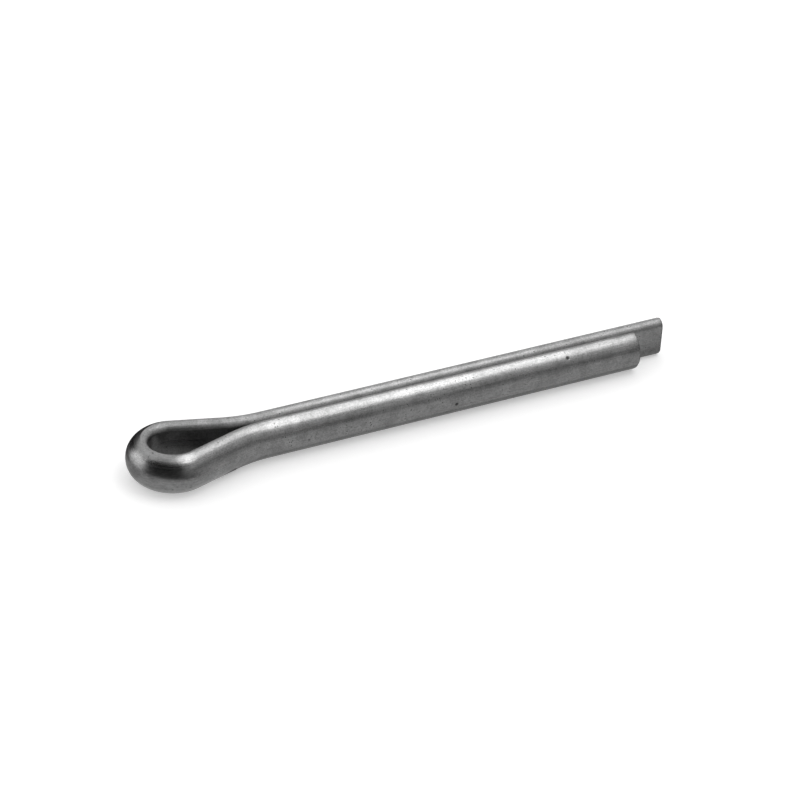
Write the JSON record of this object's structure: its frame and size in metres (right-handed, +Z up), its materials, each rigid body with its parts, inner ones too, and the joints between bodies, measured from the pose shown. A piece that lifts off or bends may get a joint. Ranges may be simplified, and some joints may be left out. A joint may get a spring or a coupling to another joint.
{
  "type": "cotter pin",
  "caption": "Split cotter pin of folded half-round steel wire with a round eye, a tapered neck and straight legs of unequal length; its legs pass through a cross hole and are bent apart to lock it.",
  "frame": {"origin": "middle of the bounding box at its bottom, on the surface that the pin lies on", "axes": "+X along the shank towards the tips, +Y towards the longer leg, +Z up, square to the plane of the eye"},
  "size_m": [0.0592, 0.0088, 0.0042],
  "materials": {
    "steel_wire": "plain drawn steel wire, satin grey"
  },
  "bodies": {
    "root": {"cotter_pin": "steel_wire"}
  },
  "joints": []
}
